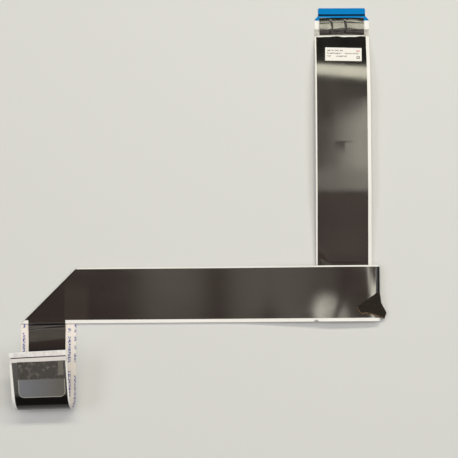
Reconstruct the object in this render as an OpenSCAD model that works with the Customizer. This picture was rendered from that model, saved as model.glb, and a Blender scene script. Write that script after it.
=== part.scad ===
// Flat ribbon cable between a board and a display panel. A white laminated strip with a black
// shield film on one face leaves the panel end, turns square through a flat corner fold and a
// hairpin, turns again through a second flat fold and curls back on itself at the board end.
//
// Every layer is described on the flat strip by its distance along the cable (u), its distance
// across it (v) and its height above the bare face (w). The bends then carry those flat places
// into space, so the layers stay seated on each other whatever the route.

/* [Cable] */
// Width of the flat cable
cable_w = 30; // [28:0.5:36]
// Thickness of the white laminated strip
cable_t = 0.3; // [0.24:0.02:0.4]
// Thickness of each insulating film, which is stripped off at the two ends
cover_t = 0.1; // [0.06:0.01:0.11]
// Thickness of the black shield film
shield_t = 0.1; // [0.05:0.01:0.2]
// White margin beside the shield film on its wider side
margin_wide = 1.8; // [0.5:0.1:3]
// White margin beside the shield film on its narrower side
margin_narrow = 0.8; // [0.3:0.1:3]

/* [Contacts] */
// Number of bared conductors at each end
contact_count = 51; // [31:1:51]
// Spacing of the conductors
contact_pitch = 0.5; // [0.4:0.05:0.5]
// Width of one bared conductor
contact_w = 0.3; // [0.2:0.02:0.36]
// Thickness of one bared conductor
contact_t = 0.05; // [0.03:0.01:0.06]
// Distance that a bared conductor stops short of the cut end
contact_inset = 0.3; // [0.1:0.05:0.6]

/* [Route] */
// From the tip of the panel end to the middle of the long run
drop_l = 158; // [140:1:220]
// From the middle of the drop to the middle of the leg
run_l = 160; // [120:1:240]
// Angle by which the long run leans away from square
run_tilt = 0.5; // [0:0.1:2]
// From the middle of the long run to the outside of the curl
leg_l = 60.3; // [56:0.1:90]
// Straight length past the curl
flap_l = 23.6; // [23:0.1:40]
// Flat length between the corner fold and the hairpin, at the cable's edge
stub_gap = 0.3; // [0.2:0.1:6]
// Flat length of the long run past the corner tape
run_level = 1.2; // [0.5:0.1:12]

/* [Bends] */
// Radius at mid-thickness of the two flat folds
fold_r = 0.6; // [0.45:0.05:0.8]
// Radius at mid-thickness of the hairpin
hairpin_r = 2.5; // [1.9:0.1:3]
// Radius at mid-thickness of the curl
curl_r = 9; // [7:0.25:12]
// Angle that the curl turns through
curl_turn = 170; // [150:1:178]
// Angle by which the curl is rolled askew
curl_skew = 1.3; // [0:0.1:3]
// Flat length between the label and the crest of the bow in the drop
bow_gap = 0.2; // [0.1:0.1:2]
// Height of the bow above the table
bow_h = 4.5; // [3.5:0.1:5]
// Angle at which the bow rises
bow_rise = 9; // [8.5:0.5:11]
// Angle at which the bow falls
bow_fall = 4.4; // [4:0.1:6]
// Radius of the bends where the bow leaves the table and comes back to it
bow_foot_r = 12; // [8:1:20]
// Radius of the bends at the two sides of the bow's flat top
bow_crest_r = 150; // [120:5:160]
// Flat length between the bow and the corner fold
corner_gap = 1; // [0.5:0.1:14]
// Angle at which the long run falls from the hairpin to the table
run_fall = 4; // [3:0.1:5]
// Radius of the bend where the long run starts to fall
run_crest_r = 150; // [60:10:200]
// Radius of the bend where the long run comes to the table
run_foot_r = 400; // [60:10:400]

/* [Panel end] */
// Length of the narrow tip that enters the socket
tip_l = 4.4; // [4:0.1:5]
// Size of the tip's clipped corners
tip_chamfer = 0.5; // [0.2:0.1:0.8]
// Length of the slanted shoulders behind the tip
shoulder_l = 2.2; // [1:0.1:2.4]
// Bared length on the underside
panel_bare_l = 3.6; // [2.5:0.1:3.8]
// Thickness of each stiffener
stiffener_t = 0.2; // [0.1:0.02:0.3]
// Length of the panel stiffener past the shoulders
stiffener_past = 0.3; // [0.1:0.1:2]
// Width of the insertion line pressed into the panel stiffener
mark_w = 0.7; // [0.3:0.1:1]
// Distance of the insertion line from the shoulders
mark_gap = 0.25; // [0:0.05:1]
// Depth of the insertion line
mark_d = 0.08; // [0.04:0.01:0.09]

/* [Wrap tape] */
// Length of the glossy tape that lies on the stiffener
wrap_overlap = 1.5; // [0.5:0.1:2]
// Length of the glossy tape along the cable
wrap_l = 10.1; // [9:0.1:12]
// Width of the glossy tape across the cable
wrap_w = 24.6; // [20:0.2:27]
// Thickness of the glossy tape
wrap_t = 0.08; // [0.05:0.01:0.15]
// Height to which the loose tape has lifted
wrap_lift = 0.9; // [0.6:0.05:1.5]
// Length of the glossy tape that stays level past the stiffener
wrap_level = 0.5; // [0.2:0.1:1]
// Length over which the glossy tape then comes down to the cable
wrap_slope = 2; // [1:0.1:3]
// White gap between the glossy tape and the shield film
shield_gap = 0.8; // [0.2:0.1:2]

/* [Label] */
// Length of the label across the cable
label_l = 20; // [12:0.5:24]
// Width of the label along the cable
label_w = 7.9; // [5:0.1:8]
// Thickness of the label
label_t = 0.08; // [0.05:0.01:0.15]
// Distance from the start of the shield film to the label
label_gap = 6.7; // [2:0.1:10]
// Distance of the label's middle from the middle of the cable
label_side = 0.6; // [-0.6:0.1:0.8]
// Angle by which the label was stuck on askew
label_turn = 1.5; // [0:0.1:3]

/* [Fold tape] */
// Width of the black tape over the second flat fold
fold_tape_w = 20; // [12:0.5:22]
// Length of that tape on the long run
fold_tape_on_run = 3; // [1.5:0.1:3.2]
// Length over which it comes down to the leg
fold_tape_slope = 4; // [3:0.5:8]
// Length of that tape on the leg
fold_tape_on_leg = 20; // [10:0.5:24]
// Thickness of that tape
fold_tape_t = 0.1; // [0.05:0.01:0.2]
// Distance of its middle from the middle of the leg
fold_tape_side = 0.75; // [0:0.05:1]

/* [Corner tape] */
// Thickness of the torn cloth tape at the hairpin
corner_tape_t = 0.18; // [0.1:0.02:0.3]
// Length of the tape on the long run
corner_tape_on_run = 10.2; // [6:0.1:12]
// Distance that its corner reaches in from the long run's lower edge
corner_tape_w = 16.1; // [12:0.1:17]
// Length of the loose tail past the hairpin
corner_tape_tail = 5.3; // [3:0.1:6]

/* [Board end] */
// Bared length on the shield film's side
board_bare_l = 2.75; // [2.4:0.05:2.9]
// Width of the bare groove behind the contacts
groove_w = 0.5; // [0.3:0.05:0.7]
// Distance from the cut end to the end of the shield film
board_shield_at = 5.4; // [4.5:0.1:5.8]
// Length of the board stiffener
board_stiffener_l = 6.9; // [5:0.1:10]
// Distance from the cut end to the lock notches
notch_at = 3; // [2.6:0.05:3.4]
// Depth of the lock notches
notch_d = 1.1; // [0.5:0.1:1.5]
// Width of the lock notches at the edge
notch_w = 1.7; // [1:0.1:2.4]
// Length of the pull tab
tab_l = 18.9; // [12:0.1:19]
// Width of the pull tab
tab_w = 24.4; // [20:0.2:26]
// Distance of the pull tab's middle from the middle of the cable
tab_side = -1.3; // [-1.6:0.1:1.6]
// Angle by which the pull tab was stuck on askew
tab_turn = 1; // [0:0.1:1.5]
// Thickness of the pull tab
tab_t = 0.12; // [0.08:0.01:0.2]
// Radius of the pull tab's free corners
tab_r = 2.8; // [1:0.1:4]

/* [Edge nick] */
// Distance of the nick in the long run's edge from the hairpin
nick_at = 32; // [28:0.5:80]
// Width of the nick
nick_w = 3; // [1:0.1:4]
// Depth of the nick
nick_d = 1; // [0.4:0.1:1.5]

/* [Hidden] */

half_w = cable_w / 2;
tip_w = (contact_count + 1) * contact_pitch;
tip_inset = half_w - tip_w / 2;
shield_top = cable_t + shield_t;
quarter = PI / 2;
stiffener_l = tip_l + shoulder_l + stiffener_past;
wrap_at = stiffener_l - wrap_overlap;
shield_at = wrap_at + wrap_l + shield_gap;
label_at = shield_at + label_gap + label_w / 2;

// Length along the cable of an arc of the given angle and radius
function arc_l(angle, r) = angle * PI / 180 * r;

// A slope between two levels: two opposite bends, whose radii add up to r, with a straight stretch
// between them. ramp_l is its length from the middle of one bend to the middle of the other, and
// ramp_spare what it takes up over a level stretch.
function ramp_straight(h, angle, r) = (h - r * (1 - cos(angle))) / sin(angle);
function ramp_l(h, angle, r) = arc_l(angle, r) / 2 + ramp_straight(h, angle, r);
function ramp_spare(h, angle, r) =
    ramp_straight(h, angle, r) * (1 - cos(angle)) + arc_l(angle, r) - r * sin(angle);

// Heights that the bow and the long run come down, so that the stub under the corner and the
// leg both lie on the table
corner_h = 2 * fold_r + shield_t;
bow_down = bow_h - corner_h;
run_down = 2 * (hairpin_r - fold_r);

// Places of the bends along the cable. A flat fold's bent strip is slanted, so along the cable
// it reaches fold_reach to either side of its crease.
fold_reach = quarter * fold_r * sqrt(2);
bow_r = bow_foot_r + bow_crest_r;
corner_u = drop_l + ramp_spare(bow_h, bow_rise, bow_r) + ramp_spare(bow_down, bow_fall, bow_r);
bow_2 = label_at + label_w / 2 + bow_gap + arc_l(bow_rise, bow_crest_r) / 2;
bow_1 = bow_2 - ramp_l(bow_h, bow_rise, bow_r);
bow_4 = corner_u - half_w - fold_reach - corner_gap - arc_l(bow_fall, bow_foot_r) / 2;
bow_3 = bow_4 - ramp_l(bow_down, bow_fall, bow_r);
hairpin_reach = half_w + fold_reach + stub_gap;
hairpin_u = corner_u + hairpin_reach + quarter * hairpin_r;
hairpin_end = hairpin_u + quarter * hairpin_r;
run_r = run_crest_r + run_foot_r;
run_1 = hairpin_end + corner_tape_on_run + run_level + arc_l(run_fall, run_crest_r) / 2;
run_2 = run_1 + ramp_l(run_down, run_fall, run_r);
left_u = hairpin_end + hairpin_reach + run_l + ramp_spare(run_down, run_fall, run_r);
curl_start = left_u + leg_l - curl_r - cable_t / 2 - shield_t;
curl_u = curl_start + arc_l(curl_turn, curl_r) / 2;
curl_end = curl_start + arc_l(curl_turn, curl_r);
end_u = curl_end + flap_l;

// Steps along each kind of bend
gentle_steps = 5;
fold_steps = 10;
hairpin_steps = 12;
curl_steps = 34;

// Bends in order: place, angle of the crease to the cable, turn, radius, steps.
// A positive turn folds the shielded face inwards.
bends = [
    [bow_1, 90, bow_rise, bow_foot_r, gentle_steps],
    [bow_2, 90, -bow_rise, bow_crest_r, gentle_steps],
    [bow_3, 90, -bow_fall, bow_crest_r, gentle_steps],
    [bow_4, 90, bow_fall, bow_foot_r, gentle_steps],
    [corner_u, 45 + run_tilt / 2, -180, fold_r, fold_steps],
    [hairpin_u, 90, -180, hairpin_r, hairpin_steps],
    [run_1, 90, -run_fall, run_crest_r, gentle_steps],
    [run_2, 90, run_fall, run_foot_r, gentle_steps],
    [left_u, 45, -180, fold_r, fold_steps],
    [curl_u, 90 - curl_skew, -curl_turn, curl_r, curl_steps]];

// One bend carries a point on, rolling it round the crease or turning it past the bend
function bent(p, flat, b) =
    let (arc = arc_l(abs(b[2]), b[3]),
         crease = [cos(b[1]), sin(b[1])],
         onward = [sin(b[1]), -cos(b[1])],
         from_crease = (flat - [b[0], 0]) * onward,
         rolled = max(0, min(arc, from_crease + arc / 2)),
         turn = sign(b[2]) * rolled / b[3] * 180 / PI,
         centre = cable_t / 2 + sign(b[2]) * b[3],
         here = [p.x - b[0], p.y],
         past = here * onward + arc / 2 - rolled,
         rise = p.z - centre,
         place = (here * crease) * crease
             + (past * cos(turn) - rise * sin(turn) - arc / 2) * onward)
    [b[0] + place.x, place.y, centre + past * sin(turn) + rise * cos(turn)];

function bent_back(p, flat, i) = i < 0 ? p : bent_back(bent(p, flat, bends[i]), flat, i - 1);

// Place in space of a flat place, with the tip at zero and the cable leaving it towards -Y
function loose(u, v, w) = let (p = bent_back([u, v, w], [u, v], len(bends) - 1)) [p.y, -p.x, p.z];

// Stations are lines across the cable: a place and a slant, in order along the cable
function in_order(list) =
    len(list) < 2 ? list :
    let (first = list[0], rest = [for (i = [1:1:len(list) - 1]) list[i]])
    concat(in_order([for (s = rest) if (s[0] < first[0]) s]), [first],
           in_order([for (s = rest) if (s[0] > first[0]) s]));

function bend_stations(b) =
    let (arc = arc_l(abs(b[2]), b[3]))
    [for (i = [0:b[4]]) [b[0] + (i / b[4] - 0.5) * arc / sin(b[1]), cos(b[1]) / sin(b[1])]];

// Outline and section of the strip along its length
cut_slope = 0.1;
notch_u = end_u - notch_at;
nick_u = hairpin_end + nick_at;
side_inset = [
    [0, tip_inset + tip_chamfer], [tip_chamfer, tip_inset],
    [tip_l, tip_inset], [tip_l + shoulder_l, 0],
    [notch_u - notch_w / 2, 0], [notch_u, notch_d], [notch_u + notch_w / 2, 0]];
nick_inset = [[nick_u - nick_w / 2, 0], [nick_u, nick_d], [nick_u + nick_w / 2, 0]];
under_cut = [[panel_bare_l, cover_t], [panel_bare_l + cut_slope, 0]];
board_strip_u = end_u - board_bare_l - groove_w;
over_cut = [[board_strip_u - cut_slope, 0], [board_strip_u, cover_t]];

bend_lines = [for (b = bends) each bend_stations(b)];
outline_lines = [for (points = [side_inset, nick_inset, under_cut, over_cut]) for (p = points) [p[0], 0]];
ribbon_lines = in_order(concat([[end_u, 0]], bend_lines, outline_lines));

shield_end = end_u - board_shield_at;
shield_lines = in_order(concat(
    [[shield_at, 0], [shield_end, 0]],
    [for (s = bend_lines) if (s[0] > shield_at && s[0] < shield_end) s]));
shield_low = -half_w + margin_narrow;
shield_high = half_w - margin_wide;

function ribbon_low(u) = -half_w + lookup(u, side_inset);
function ribbon_high(u) = half_w - max(lookup(u, side_inset), lookup(u, nick_inset));

// Four corners of the section at a station, between two edges and two faces
function section(s, low, high, under, over) =
    [for (c = [[low, under], [high, under], [high, over], [low, over]])
        at(s[0] + c[0] * s[1], c[0], c[1])];

// Torn outline of the cloth tape: distance past the start of the hairpin, and distance in from
// the long run's lower edge
lift_steps = 2;
lift_turn = lift_steps * 180 / hairpin_steps;
lift_s = arc_l(lift_turn, hairpin_r);
function on_run(s, d) = [-s * corner_tape_on_run, d * corner_tape_w];
function on_tail(s, d) = [lift_s + s * corner_tape_tail, d * corner_tape_w];
corner_tape_upper = [
    on_run(1, 0.49), on_tail(0.13, 1), on_tail(0.28, 0.83), on_tail(0.36, 0.6), on_tail(1, 0.29)];
corner_tape_lower = [
    on_run(1, 0.46), on_run(0.95, 0.385), on_run(0.8, 0.236), on_run(0.5, 0.26), on_run(0.2, 0.205),
    on_run(0, 0.168), on_tail(0, 0.137), on_tail(0.74, 0.075), on_tail(1, 0.267)];
corner_tape_lines = in_order(concat(
    [for (i = [0:lift_steps]) [i / lift_steps * lift_s, 0]],
    [for (p = concat(corner_tape_upper, corner_tape_lower)) [p[0], 0]]));

// The tape lies on the shield film, follows the hairpin part of the way and leaves it straight on
function on_corner(s, v, w, place) =
    let (follows = min(s, lift_s),
         here = place(hairpin_end - follows, v, w),
         out = place(hairpin_end, v, w) - place(hairpin_end + 1, v, w))
    here + (s - follows) * (out * cos(lift_turn) - [0, 0, sin(lift_turn)]);

function corner_section(s, place) =
    let (low = half_w - lookup(s, corner_tape_upper),
         high = half_w - lookup(s, corner_tape_lower))
    [for (c = [[low, 0], [high, 0], [high, corner_tape_t], [low, corner_tape_t]])
        on_corner(s, c[0], shield_top + c[1], place)];

// The origin is under the middle of the whole, on the table
reach = concat(
    [for (s = ribbon_lines) for (v = [-half_w, half_w]) for (w = [0, cable_t])
        loose(s[0] + v * s[1], v, w)],
    [for (s = shield_lines) for (v = [shield_low, shield_high])
        loose(s[0] + v * s[1], v, shield_top)],
    [for (s = corner_tape_lines) each corner_section(s[0], function (u, v, w) loose(u, v, w))]);
middle = [
    (min([for (p = reach) p.x]) + max([for (p = reach) p.x])) / 2,
    (min([for (p = reach) p.y]) + max([for (p = reach) p.y])) / 2, 0];
function at(u, v, w) = loose(u, v, w) - middle;

// A closed skin over a sheet: each ring runs across under the sheet and back over it
module skin(rings) {
    n = len(rings[0]);
    last = (len(rings) - 1) * n;
    sides = [for (i = [0:len(rings) - 2]) for (j = [0:n - 1])
        [i * n + j, (i + 1) * n + j, (i + 1) * n + (j + 1) % n, i * n + (j + 1) % n]];
    near = [for (j = [0:n / 2 - 2]) [j, j + 1, n - 2 - j, n - 1 - j]];
    far = [for (f = near) [for (k = [3:-1:0]) last + f[k]]];
    polyhedron([for (ring = rings) each ring], concat(near, sides, far));
}

// Children are placed on the strip's bare face where it is flat: X along, Y across, Z outwards
module seated(u) {
    o = at(u, 0, 0);
    x = at(u + 1, 0, 0) - o;
    y = at(u, 1, 0) - o;
    z = at(u, 0, 1) - o;
    multmatrix([[x.x, y.x, z.x, o.x], [x.y, y.y, z.y, o.y], [x.z, y.z, z.z, o.z]]) children();
}

// A plate with an outline given on one side of the middle and repeated on the other
module even_plate(points, t) {
    other = [for (i = [len(points) - 1:-1:0]) [points[i].x, -points[i].y]];
    linear_extrude(t) polygon(concat(points, other));
}

module contact_row(from, to) {
    for (i = [0:contact_count - 1])
        translate([from, (i - (contact_count - 1) / 2) * contact_pitch - contact_w / 2, 0])
            cube([to - from, contact_w, contact_t]);
}

module ribbon() {
    color("#f1ece4") skin([for (s = ribbon_lines)
        section(s, ribbon_low(s[0]), ribbon_high(s[0]),
                lookup(s[0], under_cut), cable_t - lookup(s[0], over_cut))]);
}

module shield_film() {
    color("#2b2624") skin([for (s = shield_lines)
        section(s, shield_low, shield_high, cable_t, shield_top)]);
}

module panel_contacts() {
    color("#d8d2c4") seated(0) translate([0, 0, cover_t - contact_t])
        contact_row(contact_inset, panel_bare_l - contact_inset);
}

module panel_stiffener() {
    tip_half = tip_w / 2;
    outline = [
        [0, tip_half - tip_chamfer], [tip_chamfer, tip_half], [tip_l, tip_half],
        [tip_l + shoulder_l, half_w], [stiffener_l, half_w]];
    color("#0a7fce") seated(0) translate([0, 0, cable_t]) difference() {
        even_plate(outline, stiffener_t);
        translate([tip_l - mark_gap - mark_w, -half_w, stiffener_t - mark_d])
            cube([mark_w, cable_w, stiffener_t]);
    }
}

// Height of the loose tape over the strip: two ridges across it, pinched by two creases
function hump(x, peak, width) = exp(-pow((x - peak) / width, 2));
function wrap_ridges(a) = 0.7 * hump(a, 0.16, 0.09) + hump(a, 0.52, 0.24);
function wrap_pinch(b) = 1 - 0.45 * hump(b, 0.59, 0.03) - 0.3 * hump(b, 0.28, 0.05);
function wrap_step(u) = stiffener_t * max(0, min(1, 1 - (u - stiffener_l - wrap_level) / wrap_slope));
function wrap_under(a, b) =
    cable_t + wrap_step(wrap_at + a * wrap_l) + wrap_lift * wrap_ridges(a) * wrap_pinch(b);

module wrap_tape() {
    along = 18;
    across = 34;
    function place(i, j, w) =
        let (a = i / along, b = j / across)
        at(wrap_at + a * wrap_l, (b - 0.5) * wrap_w, wrap_under(a, b) + w);
    color("#1d1c1b") skin([for (i = [0:along])
        concat([for (j = [0:across]) place(i, j, 0)], [for (j = [across:-1:0]) place(i, j, wrap_t)])]);
}

module label() {
    color("#f4f1ea") seated(label_at) translate([0, label_side, shield_top]) rotate(-label_turn)
        translate([-label_w / 2, -label_l / 2, 0]) cube([label_w, label_l, label_t]);
}

// The tape starts on the long run, steps off its edge and comes down to the leg's bare face
module fold_tape() {
    edge = -half_w;
    step_off = edge + fold_tape_t;
    foot = step_off + fold_tape_slope;
    path = [
        [edge - fold_tape_on_run, corner_h], [step_off, corner_h],
        [foot, 0], [foot + fold_tape_on_leg, 0]];
    back = [for (i = [len(path) - 1:-1:0]) path[i] + [0, fold_tape_t]];
    color("#1a1715") seated(left_u + cable_w) translate([0, fold_tape_side + fold_tape_w / 2, 0])
        rotate([90, 0, 0]) linear_extrude(fold_tape_w)
            polygon([for (p = concat(path, back)) [p.x, -p.y]]);
}

module corner_tape() {
    color("#141312") skin([for (s = [for (i = [len(corner_tape_lines) - 1:-1:0]) corner_tape_lines[i][0]])
        corner_section(s, function (u, v, w) at(u, v, w))]);
}

module board_contacts() {
    color("#d8d2c4") seated(end_u) translate([0, 0, cable_t - cover_t])
        contact_row(-board_bare_l, -contact_inset);
}

module board_stiffener() {
    outline = [
        [-board_stiffener_l, half_w], [-notch_at - notch_w / 2, half_w], [-notch_at, half_w - notch_d],
        [-notch_at + notch_w / 2, half_w], [0, half_w]];
    color("#0a7fce") seated(end_u) translate([0, 0, -stiffener_t]) even_plate(outline, stiffener_t);
}

module pull_tab() {
    half = tab_w / 2;
    round_corner = [for (a = [0:6:90]) [tab_r * (1 - cos(a)) - tab_l, half - tab_r * (1 - sin(a))]];
    color("#6b6864") seated(end_u) translate([-board_shield_at, tab_side, shield_top]) rotate(-tab_turn)
        even_plate(concat(round_corner, [[0, half]]), tab_t);
}

ribbon();
shield_film();
panel_contacts();
panel_stiffener();
wrap_tape();
label();
fold_tape();
corner_tape();
board_contacts();
board_stiffener();
pull_tab();
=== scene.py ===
"""Looks, stage and camera for a folded flat ribbon cable.

Every layer is described on the flat strip by its distance along it (u), its distance across it (v)
and its height above the bare face (w). The bends of the solids then carry those flat places into
space, and a slight waviness of the film is added on the way.
"""

import math
from functools import partial, reduce
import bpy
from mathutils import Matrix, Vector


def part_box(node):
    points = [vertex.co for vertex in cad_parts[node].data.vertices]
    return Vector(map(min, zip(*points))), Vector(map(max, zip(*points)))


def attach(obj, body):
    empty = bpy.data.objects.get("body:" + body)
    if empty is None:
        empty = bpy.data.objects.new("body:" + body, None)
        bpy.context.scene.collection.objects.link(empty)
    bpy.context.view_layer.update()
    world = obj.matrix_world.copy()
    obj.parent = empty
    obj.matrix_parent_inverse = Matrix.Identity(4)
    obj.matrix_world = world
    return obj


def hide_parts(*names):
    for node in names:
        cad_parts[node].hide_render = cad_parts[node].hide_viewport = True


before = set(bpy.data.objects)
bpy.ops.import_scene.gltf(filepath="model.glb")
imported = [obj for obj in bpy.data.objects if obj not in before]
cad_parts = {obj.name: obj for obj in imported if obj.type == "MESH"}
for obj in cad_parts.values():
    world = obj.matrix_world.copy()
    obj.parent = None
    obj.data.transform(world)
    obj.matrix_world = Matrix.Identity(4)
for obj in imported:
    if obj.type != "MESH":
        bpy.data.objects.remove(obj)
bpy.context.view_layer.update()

from types import SimpleNamespace

import bpy
import numpy as np
from bpy.props import FloatProperty, FloatVectorProperty, PointerProperty
from bpy.types import Operator, Panel, PropertyGroup
from mathutils import Matrix, Vector

bl_info = {
    "name": "Folded ribbon cable",
    "version": (1, 0, 0),
    "blender": (4, 5, 0),
    "location": "View3D > Sidebar > Cable",
    "description": "Builds a folded flat cable with its film, tapes, label, stage and camera",
    "category": "Object",
}

BODY = "root"
MM = 0.001
QUARTER = math.pi / 2
LINE_STEP = 2 * MM  # between two lines across the strip, where it isn't bent
ACROSS = 25  # points in each of those lines
SHARP = math.radians(50)  # an edge that turns by more is drawn sharp
MIDDLE = (0.3, 0.7)  # most of a noise lies between these values

# Columns of print on the bare face: their middles and widths across the strip, in millimetres.
PRINT_COLUMNS = ((13.3, 1.2), (-11.4, 1.3), (-14.7, 1.2))

# Words on the label: their middles along the strip and their ends across it, in millimetres.
LABEL_WORDS = ((-2.2, -8.8, -5.5), (-2.2, -4.7, -0.4), (-0.5, -8.9, -0.9), (-0.5, 0.5, 8.1),
               (1.2, -8.8, -6.9), (1.2, -3.9, 1.9))

# The glossy tape: shares of its length, and how far it stands off the cable there, in millimetres.
WRAP_RISE = ((0, 0.2), (0.085, 0.42), (0.24, 0.64), (0.33, 0.67), (0.61, 0.92), (0.69, 0.97),
             (0.73, 0.97), (0.96, 0.05), (1, 0.02))

# Its creases: their shares of its width, their sway with its turns and phase, their width and depth.
WRAP_CREASES = ((0.58, 0.015, 6, -2, 0.015, 1.0), (0.25, 0.035, 5, -1, 0.016, 0.8),
                (0.385, 0, 0, 0, 0.01, 0.15))

# The tape over the second fold: millimetres past the run's edge, and shares of the fold's height.
FOLD_TAPE_FALL = ((-4, 1), (-0.2, 1), (1.1, 0.65), (1.7, 0.63), (2.8, 0.42), (9.2, 0.03), (10.4, 0),
                  (40, 0))

# Lamps: name, place and aim in metres, width and depth, power in watts and colour.
LAMPS = (
    ("strip_light", (0.3, 0.69, 1.15), (0.3, 0.075, 0), (1.3, 0.155), 9.4, "#fffae2"),
    ("slope_light", (0.24, 0.56, 1.6), (0.24, 0.06, 0), (0.36, 0.3), 0.2, "#fffae8"),
    ("drop_light", (0.325, 0.27, 1.55), (0.325, 0, 0), (0.21, 0.32), 1.38, "#fffae8"),
    ("fall_light", (0.23, -0.185, 1.55), (0.23, 0, 0), (0.12, 0.23), 0.075, "#ffe9dc"),
    ("run_light", (-0.13, 0, 1.6), (-0.13, -0.05, 0), (0.13, 0.14), 0.085, "#fffae8"),
    ("patch_light", (-0.14, 0.21, 1.6), (-0.14, 0, 0), (0.48, 0.13), 2.1, "#fffae8"),
    ("edge_light", (0.52, 0, 1.5), (0.09, 0, 0), (0.4, 0.07), 1.6, "#fffae8"),
    ("tape_light", (-0.36, -0.42, 1.6), (-0.36, 0, 0), (0.5, 0.2), 0.8, "#fff9e8"),
    ("ceiling", (0, 0, 2.4), (0, 0, 0), (1.6, 1.9), 5.7, "#ffd9c8"),
    ("front_light", (-0.15, -0.56, 1.35), (-0.15, -0.07, 0), (1, 0.25), 1.8, "#fffaf2"),
    ("left_light", (-1.3, 0.1, 1.5), (0, 0, 0), (1, 0.6), 7.2, "#f8faff"),
    ("right_light", (1.3, 0, 1.5), (0, 0, 0), (1, 0.6), 7.2, "#f8faff"),
)


def linear(hex_colour):
    """An sRGB hex colour as linear red, green and blue."""
    parts = [int(hex_colour[i:i + 2], 16) / 255 for i in (1, 3, 5)]
    return tuple(p / 12.92 if p <= 0.04045 else ((p + 0.055) / 1.055) ** 2.4 for p in parts)


def length(name, description, millimetres):
    """A size that is given in millimetres and kept in metres."""
    return FloatProperty(name=name, description=description, default=millimetres * MM,
                         unit="LENGTH", precision=5)


def angle(name, description, degrees):
    """An angle that is given in degrees and kept in radians."""
    return FloatProperty(name=name, description=description, default=math.radians(degrees),
                         subtype="ANGLE")


def colour(name, description, hex_colour):
    """A colour that is given as sRGB hex and kept linear."""
    return FloatVectorProperty(name=name, description=description, default=linear(hex_colour),
                               subtype="COLOR", min=0, max=1)


class CableSizes(PropertyGroup):
    """Sizes of the flat strip and of its route."""

    cable_w: length("Cable width", "Width of the flat cable", 30)
    cable_t: length("Cable thickness", "Thickness of the white laminate", 0.3)
    cover_t: length("Cover thickness", "Thickness of each insulating film", 0.1)
    shield_t: length("Shield thickness", "Thickness of the black shield film", 0.1)
    margin_wide: length("Wide margin", "White margin on the wider side", 1.8)
    margin_narrow: length("Narrow margin", "White margin on the narrower side", 0.8)
    drop_l: length("Drop", "From the tip to the middle of the long run", 158)
    run_l: length("Run", "From the middle of the drop to the middle of the leg", 160)
    run_tilt: angle("Run tilt", "Angle by which the run leans from square", 0.5)
    leg_l: length("Leg", "From the middle of the run to the outside of the curl", 60.3)
    flap_l: length("Flap", "Straight length past the curl", 23.6)
    stub_gap: length("Stub gap", "From the corner fold to the hairpin", 0.3)
    run_level: length("Level run", "Level run past the cloth tape", 1.2)
    fold_r: length("Fold radius", "Radius of the two flat folds", 0.6)
    hairpin_r: length("Hairpin radius", "Radius of the hairpin", 2.5)
    curl_r: length("Curl radius", "Radius of the curl", 9)
    curl_turn: angle("Curl turn", "Angle that the curl turns through", 170)
    curl_skew: angle("Curl skew", "Angle by which the curl is rolled askew", 1.3)
    bow_gap: length("Bow gap", "From the label to the bow's crest", 0.2)
    bow_h: length("Bow height", "Height of the bow above the table", 4.5)
    bow_rise: angle("Bow rise", "Angle at which the bow rises", 9)
    bow_fall: angle("Bow fall", "Angle at which the bow falls", 4.4)
    bow_foot_r: length("Bow foot radius", "Radius where the bow leaves the table", 12)
    bow_crest_r: length("Bow crest radius", "Radius beside the bow's flat top", 150)
    corner_gap: length("Corner gap", "From the bow to the corner fold", 1)
    run_fall: angle("Run fall", "Angle at which the run comes down to the table", 4)
    run_crest_r: length("Run crest radius", "Radius where the run starts to fall", 150)
    run_foot_r: length("Run foot radius", "Radius where the run comes to the table", 400)
    tip_w: length("Tip width", "Width of the narrow tip", 26)
    tip_l: length("Tip length", "Length of the narrow tip", 4.4)
    tip_chamfer: length("Tip chamfer", "Size of the tip's clipped corners", 0.5)
    shoulder_l: length("Shoulder", "Length of the slanted shoulders", 2.2)
    panel_bare_l: length("Bare tip", "Bared length under the tip", 3.6)
    stiffener_t: length("Stiffener thickness", "Thickness of each blue plate", 0.2)
    stiffener_past: length("Stiffener overhang", "Length of the plate past the shoulders", 0.3)
    mark_w: length("Line width", "Width of the insertion line", 0.7)
    mark_gap: length("Line gap", "From the shoulders to the insertion line", 0.25)
    board_bare_l: length("Bare end", "Bared length at the board end", 2.75)
    groove_w: length("Groove", "Width of the bare groove behind the contacts", 0.5)
    board_shield_at: length("Shield end", "From the cut end to the shield film", 5.4)
    notch_at: length("Notch place", "From the cut end to the lock notches", 3)
    notch_d: length("Notch depth", "Depth of the lock notches", 1.1)
    notch_w: length("Notch width", "Width of the lock notches", 1.7)
    nick_at: length("Nick place", "From the hairpin to the nick in the edge", 32)
    nick_w: length("Nick width", "Width of the nick", 3)
    nick_d: length("Nick depth", "Depth of the nick", 1)


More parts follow.
